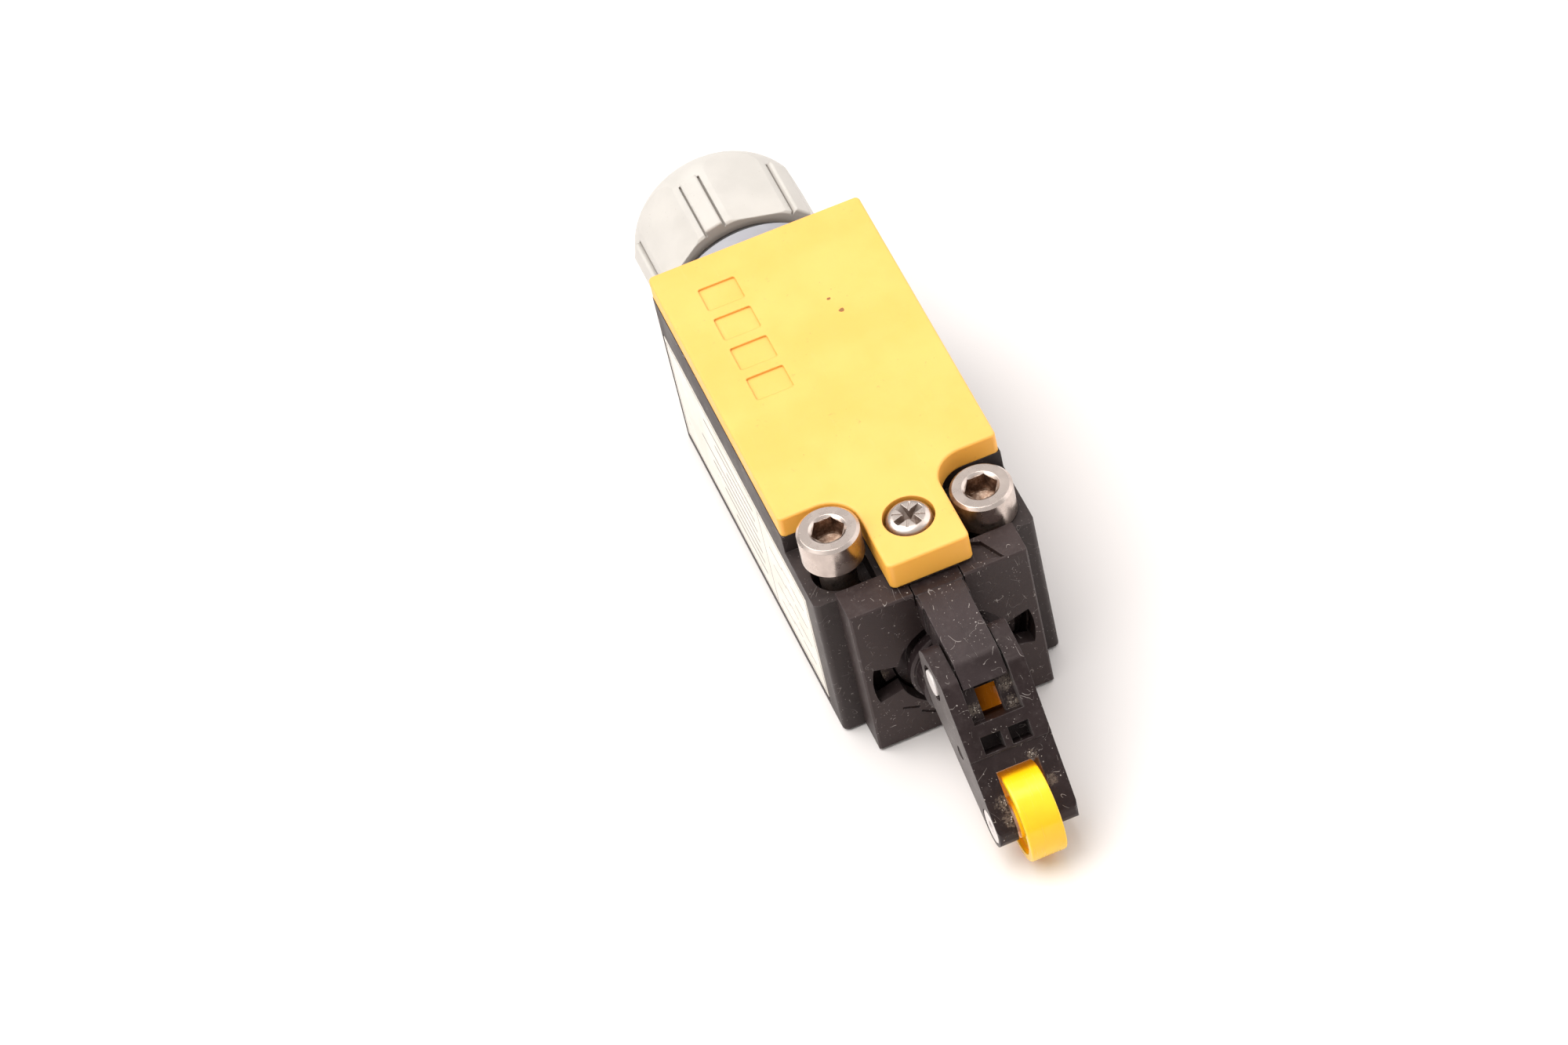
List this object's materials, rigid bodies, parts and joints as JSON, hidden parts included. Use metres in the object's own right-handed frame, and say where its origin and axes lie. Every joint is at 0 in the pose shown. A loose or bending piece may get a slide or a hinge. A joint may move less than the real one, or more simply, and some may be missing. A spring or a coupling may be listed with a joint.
{
  "type": "roller lever limit switch",
  "caption": "Plastic limit switch with an angled roller lever on a bayonet adapter, a screwed yellow cover, fixing screws and a cable gland.",
  "frame": {"origin": "on the mounting face, midway between the two fixing holes", "axes": "+Z is the outward normal of the cover, -Y points to the roller lever, +Y to the cable gland"},
  "size_m": [0.031, 0.1228, 0.0333],
  "materials": {
    "black_plastic": "fine moulded texture, dusty",
    "black_plastic_smooth": "satin, handled",
    "yellow_cover": "satin moulded",
    "yellow_roller": "glossy moulded",
    "bright_steel": "zinc plated",
    "white_label": "printed film",
    "gland_grey": "satin moulded",
    "gland_pale": "soft sealing washer",
    "rubber_black": "moulded",
    "contact_plastic": "moulded thermoset",
    "contact_brass": "stamped",
    "steel_spring": "wire"
  },
  "bodies": {
    "body": {"housing": "black_plastic", "head_block": "black_plastic", "plunger_seal": "rubber_black", "cover_gasket": "rubber_black", "rating_label": "white_label", "adapter_bracket": "black_plastic_smooth", "contact_base": "contact_plastic", "contact_cap": "contact_plastic", "fixed_contact_nc_left": "contact_brass", "fixed_contact_nc_right": "contact_brass", "fixed_contact_no_left": "contact_brass", "fixed_contact_no_right": "contact_brass", "clamp_plates": "bright_steel", "terminal_screws": "bright_steel", "gland_body": "gland_grey", "gland_washer": "gland_pale", "gland_o_ring": "rubber_black", "gland_cage": "gland_grey", "gland_seal": "rubber_black", "return_spring": "steel_spring"},
    "cover": {"front_cover": "yellow_cover"},
    "cover_screw": {"cover_screw": "bright_steel"},
    "fixing_screw_left": {"fixing_screw_left": "bright_steel"},
    "fixing_screw_right": {"fixing_screw_right": "bright_steel"},
    "lever": {"lever": "black_plastic_smooth", "lever_pin": "bright_steel", "roller_pin": "bright_steel"},
    "roller": {"roller": "yellow_roller"},
    "adapter_plunger": {"adapter_plunger": "yellow_roller"},
    "contact_carrier": {"switch_plunger": "yellow_roller", "contact_carrier": "yellow_roller", "nc_bridge": "contact_brass", "no_bridge": "contact_brass", "nc_bridge_spring": "steel_spring", "no_bridge_spring": "steel_spring"},
    "dome_nut": {"dome_nut": "gland_grey"}
  },
  "joints": [
    {"name": "lever_pivot", "type": "hinge", "parent": "body", "child": "lever", "pos_m": [0, -0.0199, 0.0205], "axis": [1, 0, 0], "range_deg": [0, 18], "stiffness_Nm_per_rad": 0.03, "springref_deg": -20.05},
    {"name": "roller_spin", "type": "hinge", "parent": "lever", "child": "roller", "pos_m": [0, -0.03445, 0.0069], "axis": [1, 0, 0], "continuous": true},
    {"name": "adapter_plunger_slide", "type": "slide", "parent": "body", "child": "adapter_plunger", "axis": [0, 1, 0], "range_m": [0, 0.00315]},
    {"name": "contact_slide", "type": "slide", "parent": "body", "child": "contact_carrier", "axis": [0, 1, 0], "range_m": [0, 0.00315], "deforming": ["return_spring"]},
    {"name": "gland_nut_turn", "type": "hinge", "parent": "body", "child": "dome_nut", "pos_m": [0, 0.0648, 0.014], "axis": [0, 1, 0], "continuous": true},
    {"name": "cover_lift", "type": "slide", "parent": "body", "child": "cover", "axis": [0, 0, 1], "range_m": [0, 0.015]},
    {"name": "cover_screw_turn", "type": "hinge", "parent": "cover", "child": "cover_screw", "pos_m": [0, -0.00145, 0.0289], "axis": [0, 0, 1], "continuous": true},
    {"name": "fixing_screw_left_slide", "type": "slide", "parent": "body", "child": "fixing_screw_left", "axis": [0, 0, 1], "range_m": [-0.0032, 0.006]},
    {"name": "fixing_screw_right_slide", "type": "slide", "parent": "body", "child": "fixing_screw_right", "axis": [0, 0, 1], "range_m": [0, 0.009]}
  ],
  "couplings": [
    {"joint": "adapter_plunger_slide", "follows": "lever_pivot", "m_per_rad": 0.01},
    {"joint": "contact_slide", "follows": "lever_pivot", "m_per_rad": 0.01}
  ]
}
